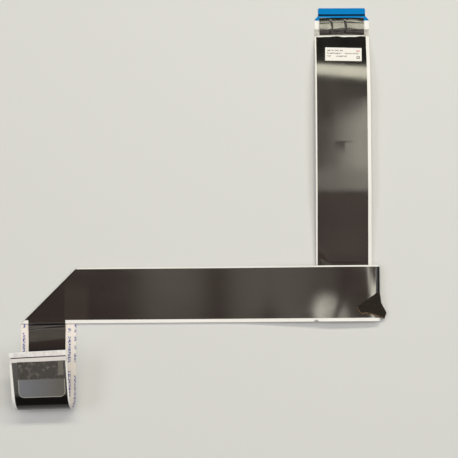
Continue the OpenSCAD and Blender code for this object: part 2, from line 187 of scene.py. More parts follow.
class TapeSizes(PropertyGroup):
    """Sizes of the tapes, the label and the pull tab."""

    wrap_overlap: length("Wrap overlap", "Length of glossy tape on the stiffener", 1.5)
    wrap_l: length("Wrap length", "Length of the glossy tape along the cable", 10.1)
    wrap_w: length("Wrap width", "Width of the glossy tape", 24.6)
    wrap_t: length("Wrap thickness", "Thickness of the glossy tape", 0.08)
    shield_gap: length("Shield gap", "White gap between the glossy tape and the film", 0.8)
    label_l: length("Label length", "Length of the label across the cable", 20)
    label_w: length("Label width", "Width of the label along the cable", 7.9)
    label_t: length("Label thickness", "Thickness of the label", 0.08)
    label_gap: length("Label gap", "From the start of the film to the label", 6.7)
    label_side: length("Label side", "Distance of the label from the middle", 0.6)
    label_turn: angle("Label turn", "Angle by which the label sits askew", 1.5)
    fold_tape_w: length("Fold tape width", "Width of the tape over the second fold", 20)
    fold_tape_on_run: length("Fold tape on run", "Length of that tape on the run", 3)
    fold_tape_slope: length("Fold tape slope", "Length over which it comes down", 4)
    fold_tape_on_leg: length("Fold tape on leg", "Length of that tape on the leg", 20)
    fold_tape_t: length("Fold tape thickness", "Thickness of that tape", 0.1)
    fold_tape_side: length("Fold tape side", "Distance of that tape from the middle", 0.75)
    corner_tape_t: length("Corner tape thickness", "Thickness of the cloth tape", 0.18)
    corner_tape_on_run: length("Corner tape on run", "Length of cloth tape on the run", 10.2)
    corner_tape_w: length("Corner tape width", "Reach of its corner from the run's edge", 16.1)
    corner_tape_tail: length("Corner tape tail", "Length of the loose tail", 5.3)
    tab_l: length("Tab length", "Length of the pull tab", 18.9)
    tab_w: length("Tab width", "Width of the pull tab", 24.4)
    tab_side: length("Tab side", "Distance of the tab from the middle", -1.3)
    tab_turn: angle("Tab turn", "Angle by which the tab sits askew", 1)
    tab_t: length("Tab thickness", "Thickness of the pull tab", 0.12)
    tab_r: length("Tab radius", "Radius of the tab's free corners", 2.8)


class CableColours(PropertyGroup):
    """Colours of the finishes."""

    laminate: colour("Laminate", "White polyester laminate", "#e7e8e9")
    laminate_soiled: colour("Soiled laminate", "Laminate where it is soiled", "#b9aea0")
    # Painted shade: grey painted on the white margins beside the glossy tape.
    laminate_tape_shade: colour("Laminate in tape shade", "Margins beside the glossy tape", "#6f7068")
    # Painted shade: the grey strip of laminate between the shield film and the board contacts.
    laminate_contact_shade: colour("Laminate in contact shade", "Laminate behind the board contacts", "#d6d4d6")
    # The warm tint of the bare face, beside the laminate's own white, is painted warm light.
    laminate_bare: colour("Bare face", "White laminate on the bare face", "#e8e2de")
    print_ink: colour("Print", "Blue marks on the bare face", "#37469a")
    # Painted shade: the dark colour in the bare groove stands for its shade.
    groove: colour("Groove", "Bare groove behind the board contacts", "#453a44")
    film: colour("Film", "Black shield film", "#0f0c0b")
    film_worn: colour("Worn film", "Shield film where it is rubbed", "#1a1613")
    # Painted sheen: the lighter film beside the second fold stands for a reflection.
    film_sheen_painted: colour("Painted film sheen", "Shield film beside the second fold", "#241f1b")
    film_scuffed: colour("Scuffed film", "Shield film where it is scraped", "#140f0a")
    stiffener: colour("Stiffener", "Blue polyester plate", "#0079c2")
    stiffener_light: colour("Light stiffener", "Lighter clouds on the plate", "#0d84ce")
    # Painted shade: the dark line across the tip stands for shade along it.
    line: colour("Line", "Insertion line on the plate", "#04121c")
    tin: colour("Tin", "Tinned copper", "#cfd0d2")
    tin_dull: colour("Dull tin", "Tinned copper where it is wiped dull", "#bcbdc2")
    wrap: colour("Wrap tape", "Glossy black tape", "#141413")
    label: colour("Label", "Matt white label", "#e6e6e5")
    label_ink: colour("Label print", "Dark marks on the label", "#5b5653")
    label_red: colour("Label mark", "Red mark on the label", "#c05a50")
    tape: colour("Film tape", "Black film tape", "#150e0b")
    cloth: colour("Cloth tape", "Black woven tape", "#0a0806")
    cloth_thread: colour("Cloth threads", "Raised threads of the woven tape", "#2f2a25")
    cloth_dust: colour("Cloth dust", "Dust on the woven tape", "#3d3022")
    fray: colour("Fray", "Tan threads at the torn edge", "#8d7458")
    tab_stuck: colour("Stuck tab", "Part of the tab that is stuck down", "#1e1b19")
    tab_scuffed: colour("Scuffed tab", "Scuffs on the stuck part", "#7d7a72")
    tab_free: colour("Free tab", "Frosted free part of the tab", "#4e4c47")
    # Painted reflection: the bluer side of the free part stands for light mirrored in it.
    tab_sheen_painted: colour("Tab sheen", "Bluer frosting towards one side of the free part", "#646872")
    tab_edge: colour("Tab edge", "Light cut edge of the free part", "#a09e98")


class StageSettings(PropertyGroup):
    """The floor, the lights and the camera."""

    floor: colour("Floor", "Plain pale floor", "#d1d4d7")
    sky: colour("Sky", "Colour of the even light", "#f4f6f8")
    world: FloatProperty(name="World", description="Strength of the even light", default=0.08)
    camera_x: length("Camera X", "Place of the camera across the table", 23.784)
    camera_y: length("Camera Y", "Place of the camera along the table", -64.744)
    camera_z: length("Camera height", "Height of the camera above the table", 560)
    camera_pitch: angle("Camera pitch", "Turn of the camera about X", 5.29)
    camera_roll: angle("Camera lean", "Turn of the camera about Y", 0.94)
    lens: FloatProperty(name="Lens", description="Focal length in millimetres", default=81.09)


def arc(turn, radius):
    """Length of an arc."""
    return turn * radius


def ramp_straight(height, slope, radii):
    """Straight length of a slope between two opposite bends, whose radii add up to radii."""
    return (height - radii * (1 - math.cos(slope))) / math.sin(slope)


def ramp_length(height, slope, radii):
    """Length of that slope from the middle of one bend to the middle of the other."""
    return arc(slope, radii) / 2 + ramp_straight(height, slope, radii)


def ramp_spare(height, slope, radii):
    """Length that the slope takes up over a level stretch."""
    return (ramp_straight(height, slope, radii) * (1 - math.cos(slope))
            + arc(slope, radii) - radii * math.sin(slope))


def route():
    """Places along the flat strip, worked out from the sizes in the same way as the solids.

    Each bend is its place, the angle of its crease to the strip, its turn, its radius and the
    number of steps that draw it. A positive turn folds the shielded face inwards.
    """
    s, t = bpy.context.scene.cable_sizes, bpy.context.scene.tape_sizes
    r = SimpleNamespace(half_w=s.cable_w / 2, shield_top=s.cable_t + s.shield_t)
    r.stiffener_l = s.tip_l + s.shoulder_l + s.stiffener_past
    r.wrap_at = r.stiffener_l - t.wrap_overlap
    r.shield_at = r.wrap_at + t.wrap_l + t.shield_gap
    r.label_at = r.shield_at + t.label_gap + t.label_w / 2
    r.corner_h = 2 * s.fold_r + s.shield_t
    bow_down = s.bow_h - r.corner_h
    run_down = 2 * (s.hairpin_r - s.fold_r)
    fold_reach = QUARTER * s.fold_r * math.sqrt(2)
    bow_radii = s.bow_foot_r + s.bow_crest_r
    run_radii = s.run_crest_r + s.run_foot_r
    r.corner_u = (s.drop_l + ramp_spare(s.bow_h, s.bow_rise, bow_radii)
                  + ramp_spare(bow_down, s.bow_fall, bow_radii))
    r.bow_2 = r.label_at + t.label_w / 2 + s.bow_gap + arc(s.bow_rise, s.bow_crest_r) / 2
    r.bow_1 = r.bow_2 - ramp_length(s.bow_h, s.bow_rise, bow_radii)
    r.bow_4 = r.corner_u - r.half_w - fold_reach - s.corner_gap - arc(s.bow_fall, s.bow_foot_r) / 2
    r.bow_3 = r.bow_4 - ramp_length(bow_down, s.bow_fall, bow_radii)
    hairpin_reach = r.half_w + fold_reach + s.stub_gap
    r.hairpin_u = r.corner_u + hairpin_reach + QUARTER * s.hairpin_r
    r.hairpin_end = r.hairpin_u + QUARTER * s.hairpin_r
    r.run_1 = r.hairpin_end + t.corner_tape_on_run + s.run_level + arc(s.run_fall, s.run_crest_r) / 2
    r.run_2 = r.run_1 + ramp_length(run_down, s.run_fall, run_radii)
    r.left_u = r.hairpin_end + hairpin_reach + s.run_l + ramp_spare(run_down, s.run_fall, run_radii)
    r.curl_start = r.left_u + s.leg_l - s.curl_r - s.cable_t / 2 - s.shield_t
    r.curl_u = r.curl_start + arc(s.curl_turn, s.curl_r) / 2
    r.end_u = r.curl_start + arc(s.curl_turn, s.curl_r) + s.flap_l
    half_turn = math.pi
    r.bends = [
        (r.bow_1, QUARTER, s.bow_rise, s.bow_foot_r, 8),
        (r.bow_2, QUARTER, -s.bow_rise, s.bow_crest_r, 24),
        (r.bow_3, QUARTER, -s.bow_fall, s.bow_crest_r, 12),
        (r.bow_4, QUARTER, s.bow_fall, s.bow_foot_r, 6),
        (r.corner_u, QUARTER / 2 + s.run_tilt / 2, -half_turn, s.fold_r, 16),
        (r.hairpin_u, QUARTER, -half_turn, s.hairpin_r, 28),
        (r.run_1, QUARTER, -s.run_fall, s.run_crest_r, 12),
        (r.run_2, QUARTER, s.run_fall, s.run_foot_r, 20),
        (r.left_u, QUARTER / 2, -half_turn, s.fold_r, 16),
        (r.curl_u, QUARTER - s.curl_skew, -s.curl_turn, s.curl_r, 72)]
    low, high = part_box("panel_stiffener")
    r.tip = np.array([(low.x + high.x) / 2, high.y, 0])
    return r


def layout():
    """The sizes of the strip, those of its tapes and the places along its route."""
    return bpy.context.scene.cable_sizes, bpy.context.scene.tape_sizes, route()


def chain(x, ends):
    """A chain of straight lines through its ends, which are places and heights."""
    return np.interp(x, *np.transpose(ends))


def smooth(x, ends, reach):
    """That chain with its corners eased.

    It is the mean of the chain at seven places, up to reach away on each side.
    """
    return np.mean([chain(x + away, ends) for away in np.linspace(-reach, reach, 7)], 0)


def hump(x, peak, width):
    """A smooth bump of height 1."""
    return np.exp(-((x - peak) / width) ** 2)


def swell(u, v):
    """Slight waviness of the strip, as heights over its flat places.

    It is a flat-topped rise past the label, whose corners are eased, a twist that comes and goes
    along the bow, and a sum of soft bumps. Each bump starts from a place of the route and has a lean.
    Then follow, in millimetres, its place along and across the strip, its length before and past its
    crest, its half width and its height.
    """
    _, t, r = layout()
    label_end = r.label_at + t.label_w / 2
    fold_edge = r.corner_u - r.half_w
    rise_h, rise_eased = 0.52 * MM, 3.2 * MM
    rise = [(r.shield_at - MM, 0), (label_end + 1.2 * MM, rise_h), (label_end + 26 * MM, rise_h),
            (label_end + 62 * MM, 0)]
    most_twist, twist_eased = 0.022, 3 * MM
    twist = [(label_end - 6 * MM, 0), (label_end + 20 * MM, most_twist), (label_end + 34 * MM, 0)]
    bumps = [
        (fold_edge, -0.6, (-3.2, -15, 4, 4, 5, 0.4)),
        (r.run_1, 0.1, (8, 26, 13, 10, 18, 1.75)),
        (r.run_1, 0.1, (27, 26, 16, 16, 20, 0.6)),
        (r.bow_3, 0.0, (6, 0, 6, 6, 60, 0.26)),
        (fold_edge, 0.0, (-0.5, 0, 5, 5, 60, -0.25)),
        (r.hairpin_end, 0.1, (-0.9, 0, 4, 4, 60, -0.4))]
    total = smooth(u, rise, rise_eased) + v * smooth(u, twist, twist_eased)
    for start, lean, sizes in bumps:
        along, across, before, past, half_w, height = (size * MM for size in sizes)
        a = u - start - along + lean * (v - across)
        a = a / np.where(a < 0, before, past)
        b = (v - across) / half_w
        total = total + height * np.exp(-a * a - b * b)
    return total


def laid(u, v, w):
    """Places in space of flat places, as arrays.

    From the last bend to the first, a bend rolls the points on it round its crease by the length
    rolled over its radius, and turns the points past it by the whole turn.
    """
    r = route()
    half_t = bpy.context.scene.cable_sizes.cable_t / 2
    u, v, w = np.broadcast_arrays(u, v, w)
    x, y, z = u, v, w + swell(u, v)
    for place, crease, turn, radius, _ in reversed(r.bends):
        whole = abs(turn) * radius
        c, s = math.cos(crease), math.sin(crease)
        rolled = np.clip((u - place) * s - v * c + whole / 2, 0, whole)
        a = math.copysign(1, turn) * rolled / radius
        centre = half_t + math.copysign(radius, turn)
        along = (x - place) * c + y * s
        past = (x - place) * s - y * c + whole / 2 - rolled
        rise = z - centre
        onward = past * np.cos(a) - rise * np.sin(a) - whole / 2
        x = place + along * c + onward * s
        y = along * s - onward * c
        z = centre + past * np.sin(a) + rise * np.cos(a)
    return np.stack([y, -x, z], -1) + r.tip


def seated(u):
    """Places in space of points on the flat plane that touches the strip at u.

    Like a stiff plate laid there: x runs along the strip, y across it and w outwards.
    """
    origin = laid(u, 0, 0)
    axes = [(laid(u + a, b, c) - origin) / MM for a, b, c in np.eye(3) * MM]

    def place(x, y, w):
        return origin + sum(np.asarray(a)[..., None] * e for a, e in zip((x, y, w), axes))

    return place


def lines_across(start, end, places=()):
    """Lines across the strip as places and slants: even in each bend, and a step apart elsewhere.

    Between a square line and a slanted one the slant grows evenly.
    """
    keys = [(start, 0.0, 0), (end, 0.0, 0)] + [(p, 0.0, 0) for p in places if start < p < end]
    for place, crease, turn, radius, steps in route().bends:
        reach = abs(turn) * radius / 2 / math.sin(crease)
        slant = math.cos(crease) / math.sin(crease)
        if start < place < end:
            keys += [(place - reach, slant, steps), (place + reach, slant, 0)]
    keys.sort()
    u, slants = [], []
    for (a, slant_a, steps), (b, slant_b, _) in zip(keys[:-1], keys[1:]):
        share = np.linspace(0, 1, (steps or math.ceil((b - a) / LINE_STEP)) + 1)[:-1]
        u.append(a + (b - a) * share)
        slants.append(slant_a + (slant_b - slant_a) * share)
    return np.append(np.concatenate(u), end), np.append(np.concatenate(slants), 0.0)


def grid(along, across):
    """All pairs of places along and across a sheet, as two arrays."""
    return np.meshgrid(along, across, indexing="ij")


def sheet_mesh(name, faces, flats):
    """A thin closed sheet from its two faces, which are grids of points the same way round.

    The flat places go with the points as the attribute flat, for the materials.
    """
    def squares(corners):
        ring = [corners[:-1, :-1], corners[1:, :-1], corners[1:, 1:], corners[:-1, 1:]]
        return np.stack(ring, -1).reshape(-1, 4)

    points = np.array(faces)
    low, high = np.arange(points.size // 3).reshape(points.shape[:-1])
    rim = np.concatenate([low[0, :-1], low[:-1, -1], low[-1, :0:-1], low[:0:-1, 0]])
    onward = np.roll(rim, -1)
    walls = np.stack([rim, rim + low.size, onward + low.size, onward], -1)
    polygons = np.concatenate([squares(high), squares(low)[:, ::-1], walls])
    mesh = bpy.data.meshes.new(name)
    mesh.from_pydata(points.reshape(-1, 3), [], polygons)
    mesh.attributes.new("flat", "FLOAT_VECTOR", "POINT").data.foreach_set(
        "vector", np.array(flats, np.float32).ravel())
    mesh.polygons.foreach_set("use_smooth", np.ones(len(polygons), bool))
    mesh.set_sharp_from_angle(angle=SHARP)
    mesh.update()
    return mesh


def on_strip(u, v, *heights):
    """The faces of a sheet on the strip, at their heights, and their flat places."""
    flats = [np.stack(np.broadcast_arrays(u, v, w), -1) for w in heights]
    return [laid(u, v, w) for w in heights], flats


def new_object(name, data):
    """A new object in the scene."""
    made = bpy.data.objects.new(name, data)
    bpy.context.scene.collection.objects.link(made)
    return made


def piece(name, faces, flats, finish, slot, *nodes):
    """A finished sheet that rides with the cable and stands for its solids."""
    mesh = sheet_mesh(name, faces, flats)
    mesh.materials.append(finish)
    made = new_object(name, mesh)
    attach(made, BODY)
    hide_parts(*nodes)


def finish_solid(node, finish):
    """A solid of the frame that keeps its shape and gets its material."""
    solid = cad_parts[node]
    solid.data.materials.clear()
    solid.data.materials.append(finish)


def add(tree, kind, inputs, **settings):
    """Adds a node, with its inputs by name or place and its settings by name.

    An input that is another node's socket is linked, and any other is the input's value.
    """
    node = tree.nodes.new(kind)
    for name, value in settings.items():
        setattr(node, name, value)
    for key, value in inputs.items():
        if isinstance(value, bpy.types.NodeSocket):
            tree.links.new(value, node.inputs[key])
        else:
            node.inputs[key].default_value = value
    return node


def material(name):
    """A new material with an empty node tree."""
    made = bpy.data.materials.new(name)
    made.use_nodes = True
    made.node_tree.nodes.clear()
    return made


def opaque(paint):
    """A colour for a node's input: a socket as it is, and any other with full alpha."""
    return paint if isinstance(paint, bpy.types.NodeSocket) else (*paint, 1)


def coat(made, base, roughness, specular=0.5, metallic=0.0, normal=None):
    """Finishes a material with one Principled shader, from values or sockets, and gives it back."""
    inputs = {"Base Color": opaque(base), "Roughness": roughness, "Specular IOR Level": specular,
              "Metallic": metallic}
    if normal is not None:
        inputs["Normal"] = normal
    shader = add(made.node_tree, "ShaderNodeBsdfPrincipled", inputs)
    add(made.node_tree, "ShaderNodeOutputMaterial", {"Surface": shader.outputs[0]})
    return made


def linked(kind, inputs, **settings):
    """Adds a node to the tree that its linked inputs are in."""
    tree = next(value.id_data for value in inputs.values() if isinstance(value, bpy.types.NodeSocket))
    return add(tree, kind, inputs, **settings)


def flat_place(made):
    """The flat place of a point on a piece, as a vector socket and its three parts."""
    flat = add(made.node_tree, "ShaderNodeAttribute", {}, attribute_name="flat").outputs["Vector"]
    return flat, linked("ShaderNodeSeparateXYZ", {0: flat}).outputs


def solid_place(made):
    """The place of a point on a solid, as a vector socket and its three parts."""
    place = add(made.node_tree, "ShaderNodeTexCoord", {}).outputs["Object"]
    return place, linked("ShaderNodeSeparateXYZ", {0: place}).outputs


def calc(operation, *values):
    """The result of a math node."""
    return linked("ShaderNodeMath", dict(enumerate(values)), operation=operation).outputs[0]


def both(*masks):
    """The product of some masks."""
    return reduce(partial(calc, "MULTIPLY"), masks)


def either(*masks):
    """The largest of some masks."""
    return reduce(partial(calc, "MAXIMUM"), masks)


def band(value, low, high, soft):
    """A mask that is 1 where the value lies from low to high and fades over soft outside them."""
    eased = {"interpolation_type": "SMOOTHSTEP"}
    rise = linked("ShaderNodeMapRange", {0: value, 1: low - soft, 2: low}, **eased)
    fall = linked("ShaderNodeMapRange", {0: value, 1: high, 2: high + soft, 3: 1.0, 4: 0.0}, **eased)
    return both(rise.outputs[0], fall.outputs[0])


def patch(*ranges):
    """A mask that is 1 where each value lies in its range and fades outside it.

    Each range is the value, and then its low end, high end and softness in millimetres.
    """
    return both(*(band(value, *(size * MM for size in sizes)) for value, *sizes in ranges))


def covered(base, *covers):
    """A colour with others over it, each as a mask and the colour that shows where the mask is 1."""
    for mask, over in covers:
        inputs = {0: mask, 6: opaque(base), 7: opaque(over)}
        base = linked("ShaderNodeMix", inputs, data_type="RGBA").outputs[2]
    return base


def spread(value, low, high, to_low, to_high):
    """A value carried from one range to another, and held at its ends."""
    return linked("ShaderNodeMapRange", {0: value, 1: low, 2: high, 3: to_low, 4: to_high}).outputs[0]


def grain(vector, spacing, stretch=(1, 1, 1), detail=3.0):
    """Soft noise whose lumps are about spacing across, drawn out by stretch."""
    scaled = linked("ShaderNodeMapping", {0: vector, 3: tuple(1 / (spacing * k) for k in stretch)})
    inputs = {"Vector": scaled.outputs[0], "Scale": 1.0, "Detail": detail, "Roughness": 0.55}
    return linked("ShaderNodeTexNoise", inputs).outputs[0]


def bumped(height, strength, distance):
    """A normal that follows a height."""
    inputs = {"Strength": strength, "Distance": distance, "Height": height}
    return linked("ShaderNodeBump", inputs).outputs[0]


def blots(vector, size):
    """Uneven blots of a size, which stand for worn print and spell nothing."""
    return spread(grain(vector, size, detail=1.0), 0.46, 0.52, 0.0, 1.0)


def kept(along, row, group, share):
    """A mask of groups along a row, of which a share is kept by chance."""
    whole = calc("FLOOR", calc("DIVIDE", along, group))
    spot = linked("ShaderNodeCombineXYZ", {0: whole, 1: float(row)}).outputs[0]
    chance = linked("ShaderNodeTexWhiteNoise", {0: spot}, noise_dimensions="2D").outputs[0]
    return calc("LESS_THAN", chance, share)


def laminate_material():
    """White polyester laminate, rolled smooth: half matt, with blue marks along the bare face, and
    painted light: shade on the margins beside the glossy tape, on the strip behind the board contacts
    and in the groove there, and a warm tint on the bare face.

    The marks are blots of 0.7 mm in groups of 2.3 mm, coarser than real print, so that they show.
    """
    c = bpy.context.scene.cable_colours
    s, _, r = layout()
    made = material("white_polyester_laminate")
    flat, (u, v, w) = flat_place(made)
    end, shield_end = r.end_u / MM, (r.end_u - s.board_shield_at) / MM
    groove_start = (r.end_u - s.board_bare_l - s.groove_w) / MM
    groove_end = groove_start + s.groove_w / MM
    bare_face = patch((w, -0.2, 0.04, 0.02))
    film_face = patch((w, 0.2, 0.4, 0.02))
    blot, group, share = 0.7 * MM, 2.3 * MM, 0.86
    columns = []
    for row, (middle, width) in enumerate(PRINT_COLUMNS):
        column = patch((v, middle - width / 2, middle + width / 2, 0.15))
        columns.append(both(column, kept(u, row, group, share)))
    clear_of_ends = patch((u, 20, end - 12, 1))
    ink = both(either(*columns), blots(flat, blot), bare_face, clear_of_ends)
    # Painted shade in the bare groove, and a little past its near edge.
    groove = patch((u, groove_start - 0.1, groove_end, 0.05), (w, 0.15, 0.4, 0.02))
    outwards = calc("ABSOLUTE", v)
    creases = spread(grain(flat, 1.2 * MM), 0.3, 0.6, 0.35, 0.75)
    # Painted shade on the white margins beside the glossy tape, broken up by creases.
    beside_tape = patch((u, 12.2, 15.6, 0.8), (outwards, 12.4, 15, 0.1))
    margin_shade = both(beside_tape, film_face, creases)
    # Painted shade on the strip between the shield film's end and the groove.
    zone_mask = both(patch((u, shield_end - 1, groove_start, 0.1)), film_face)
    soiled = spread(grain(flat, 6 * MM, (3, 1, 1)), 0.45, 0.8, 0.0, 0.12)
    base = covered(c.laminate, (soiled, c.laminate_soiled), (bare_face, c.laminate_bare),
                   (margin_shade, c.laminate_tape_shade), (zone_mask, c.laminate_contact_shade), (ink, c.print_ink),
                   (groove, c.groove))
    return coat(made, base, roughness=0.42)


def film_material():
    """Black shield film, calendered: half gloss, hazed where hands touched it, with a scraped mark, and
    a painted sheen beside the second fold.
    """
    c, r = bpy.context.scene.cable_colours, route()
    made = material("black_shield_film")
    flat, (u, v, _) = flat_place(made)
    run, fold = r.run_1 / MM, r.left_u / MM
    teeth = spread(grain(flat, 0.45 * MM, (25, 1, 1), 1.0), 0.4, 0.6, 0.5, 0.8)
    scraped = patch((u, 75.8, 90, 0.2), (u, 70, 76.5, 8), (v, -4.6, 0.4, 0.8))
    pressed = both(patch((u, 75.8, 76.3, 0.4), (v, -4.6, 2, 4)), 0.4)
    scuffed = either(pressed, both(scraped, teeth))
    rubbed = spread(grain(flat, 1.6 * MM, (5, 1, 1), 5.0), 0.56, 0.75, 0.0, 0.35)
    # Painted sheen: a lighter patch of film beside the second fold.
    beside_fold = patch((u, fold - 40, fold - 8.9, 0.3), (u, fold - 19.5, fold, 4), (v, 0, 30, 10))
    base = covered(c.film, (rubbed, c.film_worn), (beside_fold, c.film_sheen_painted),
                   (scuffed, c.film_scuffed))
    on_run = both(patch((u, run + 1, run + 9, 4), (v, 6, 30, 5)), 0.4)
    zone_mask = either(patch((u, 96, 108, 9)), on_run)
    haze = spread(grain(flat, 14 * MM, (2.5, 1, 1), 4.0), *MIDDLE, 0.095, 0.14)
    hazed = calc("MULTIPLY_ADD", zone_mask, 0.07, haze)
    return coat(made, base, roughness=calc("MULTIPLY_ADD", scuffed, 0.2, hazed),
                specular=spread(scuffed, 0.0, 1.0, 0.5, 0.15),
                normal=bumped(grain(flat, 0.9 * MM, (40, 1, 1)), 0.06, 0.05 * MM))


def stiffener_material():
    """Blue polyester plate, die cut: smooth half gloss, with a dark line of painted shade across the
    tip.
    """
    c = bpy.context.scene.cable_colours
    s, _, r = layout()
    made = material("blue_polyester")
    place, (_, y, _) = solid_place(made)
    # Painted shade: a dark line across the tip, spread a little past its edges.
    line_y, shade_spread = r.tip[1] - s.tip_l + s.mark_gap, 0.2 * MM
    line = band(y, line_y - shade_spread, line_y + s.mark_w, 0.06 * MM)
    cloudy = spread(grain(place, 5 * MM, (4, 1, 1)), *MIDDLE, 0.0, 0.35)
    base = covered(c.stiffener, (cloudy, c.stiffener_light), (line, c.line))
    return coat(made, base, roughness=0.3, specular=0.02)


def tin_material():
    """Tinned copper, dipped: dull silvery metal with wiping along it.

    The wiping is drawn 0.6 mm apart, several times as coarse as it is, so that it shows.
    """
    c = bpy.context.scene.cable_colours
    made = material("tinned_copper")
    wiped = grain(solid_place(made)[0], 0.6 * MM, (1, 20, 1), 0.0)
    base = covered(c.tin, (spread(wiped, 0.35, 0.65, 0.0, 0.8), c.tin_dull))
    return coat(made, base, roughness=spread(wiped, *MIDDLE, 0.3, 0.4), metallic=1.0)


def wrap_material():
    """Glossy black acetate tape, coated: a hard shine that catches the light on each wrinkle."""
    made = material("glossy_black_tape")
    flat, _ = flat_place(made)
    rough = spread(grain(flat, 3 * MM), *MIDDLE, 0.12, 0.18)
    crinkle = bumped(grain(flat, 1.4 * MM, (1, 2, 1), 2.0), 0.04, 0.06 * MM)
    return coat(made, bpy.context.scene.cable_colours.wrap, rough, specular=0.46, normal=crinkle)


def label_material():
    """Matt white polyester label, printed: rows of small dark marks, a red mark and an empty square.

    The marks are blots of 0.6 mm, coarser than real print, so that they show.
    """
    c = bpy.context.scene.cable_colours
    made = material("matt_white_label")
    flat, (x, y, _) = flat_place(made)
    half_h = 0.3
    words = [patch((x, middle - half_h, middle + half_h, 0.15), (y, low, high, 0.1))
             for middle, low, high in LABEL_WORDS]
    ink = both(either(*words), blots(flat, 0.6 * MM))
    outer = patch((x, 1.0, 2.5, 0.1), (y, 7.3, 8.9, 0.1))
    inner = patch((x, 1.35, 2.0, 0.1), (y, 7.65, 8.4, 0.1))
    square = calc("SUBTRACT", outer, inner)
    uneven = spread(grain(flat, 0.5 * MM), 0.35, 0.6, 0.2, 0.9)
    red = both(patch((x, -2.5, -1.6, 0.15), (y, 7.1, 8.8, 0.15)), uneven)
    base = covered(c.label, (either(ink, square), c.label_ink), (red, c.label_red))
    return coat(made, base, roughness=0.5)


def tape_material():
    """Black polyester film tape, coated: half gloss with drawn-out streaks."""
    made = material("black_film_tape")
    flat, _ = flat_place(made)
    rough = spread(grain(flat, 3 * MM, (1, 4, 1)), *MIDDLE, 0.15, 0.22)
    return coat(made, bpy.context.scene.cable_colours.tape, rough, specular=0.4)


def cloth_material():
    """Black woven cloth tape, torn by hand: matt threads, and tan where the torn edge frays.

    The threads are drawn 0.9 mm apart, three times as coarse as they are, so that they show.
    """
    c = bpy.context.scene.cable_colours
    made = material("black_cloth_tape")
    flat, (u, v, edge) = flat_place(made)
    thread = 0.9 * MM
    waves = [calc("SINE", calc("MULTIPLY", part, 2 * math.pi / thread)) for part in (u, v)]
    weave = calc("MULTIPLY", *waves)
    raised = spread(weave, -1.0, 1.0, 0.0, 0.6)
    dust = spread(grain(flat, 0.8 * MM, (2, 1, 1)), 0.5, 0.7, 0.0, 0.6)
    at_edge = spread(edge, 0.2 * MM, 0.8 * MM, 1.0, 0.0)
    torn = both(at_edge, spread(grain(flat, 0.6 * MM), 0.4, 0.55, 0.0, 0.9))
    base = covered(c.cloth, (raised, c.cloth_thread), (dust, c.cloth_dust), (torn, c.fray))
    return coat(made, base, roughness=0.85, specular=0.3, normal=bumped(weave, 0.6, 0.12 * MM))


def tab_material():
    """Smoky polyester tab, die cut: scuffed where it is stuck down and frosted where it is free.

    The free part has a painted bluish reflection towards one side, and is light at its cut edge.
    """
    c, t = bpy.context.scene.cable_colours, bpy.context.scene.tape_sizes
    made = material("smoky_polyester_tab")
    flat, (x, y, edge) = flat_place(made)
    free = band(x, -2 * t.tab_l, -t.tab_l / 2, 0.25 * MM)
    patches = spread(grain(flat, 2.2 * MM, (1, 1.8, 1), 8.0), 0.5, 0.72, 0.0, 0.55)
    dust = spread(grain(flat, 0.5 * MM), 0.4, 0.7, 0.0, 0.12)
    rubbed_side = both(patch((y, -11.6, -9.2, 0.3), (x, -7.2, 0, 0.3)), 0.5)
    stuck = covered(c.tab_stuck, (either(patches, dust, rubbed_side), c.tab_scuffed))
    cloudy = spread(grain(flat, 5 * MM), *MIDDLE, 0.0, 0.15)
    # Painted reflection: bluer towards one side of the free part, broken up by clouds.
    sheen_mask = calc("ADD", spread(y, -11 * MM, 11 * MM, 0.0, 0.9), cloudy)
    frosted = covered(c.tab_free, (sheen_mask, c.tab_sheen_painted))
    cut = both(free, spread(edge, 0.15 * MM, 0.45 * MM, 1.0, 0.0))
    return coat(made, covered(stuck, (free, frosted), (cut, c.tab_edge)), roughness=0.35)


def floor_material():
    """Plain pale painted board, rolled matt."""
    return coat(material("pale_floor"), bpy.context.scene.cable_stage.floor, roughness=0.7)


def softbox(name, place, aim, size, power, warmth):
    """A rectangular lamp that shines from its place at its aim."""
    lamp = bpy.data.lights.new(name, "AREA")
    lamp.shape = "RECTANGLE"
    lamp.size, lamp.size_y = size
    lamp.energy, lamp.color = power, linear(warmth)
    made = new_object(name, lamp)
    made.location = place
    made.rotation_euler = (Vector(aim) - Vector(place)).to_track_quat("-Z", "Y").to_euler()


class CABLE_OT_stage(Operator):
    """Make the floor, the lights and the camera"""

    bl_idname = "cable.stage"
    bl_label = "Stage and camera"

    def execute(self, context):
        scene, stage = context.scene, context.scene.cable_stage
        scene.view_settings.view_transform = "Standard"
        reach, depth = 4.0, -0.05 * MM
        corners = np.array([[-1, -1], [1, -1], [1, 1], [-1, 1]]) * reach
        mesh = bpy.data.meshes.new("floor")
        mesh.from_pydata(np.column_stack([corners, np.full(4, depth)]), [], [(0, 1, 2, 3)])
        mesh.materials.append(floor_material())
        floor = new_object("floor", mesh)
        world = bpy.data.worlds.new("even_light")
        world.use_nodes = True
        scene.world = world
        background = world.node_tree.nodes["Background"]
        background.inputs["Color"].default_value = opaque(stage.sky)
        background.inputs["Strength"].default_value = stage.world
        for lamp in LAMPS:
            softbox(*lamp)
        camera = new_object("camera", bpy.data.cameras.new("camera"))
        camera.data.lens = stage.lens
        camera.matrix_world = (Matrix.Translation((stage.camera_x, stage.camera_y, stage.camera_z))
                               @ Matrix.Rotation(stage.camera_pitch, 4, "X")
                               @ Matrix.Rotation(stage.camera_roll, 4, "Y"))
        camera.data.clip_start = 0.01
        scene.camera = camera
        return {"FINISHED"}


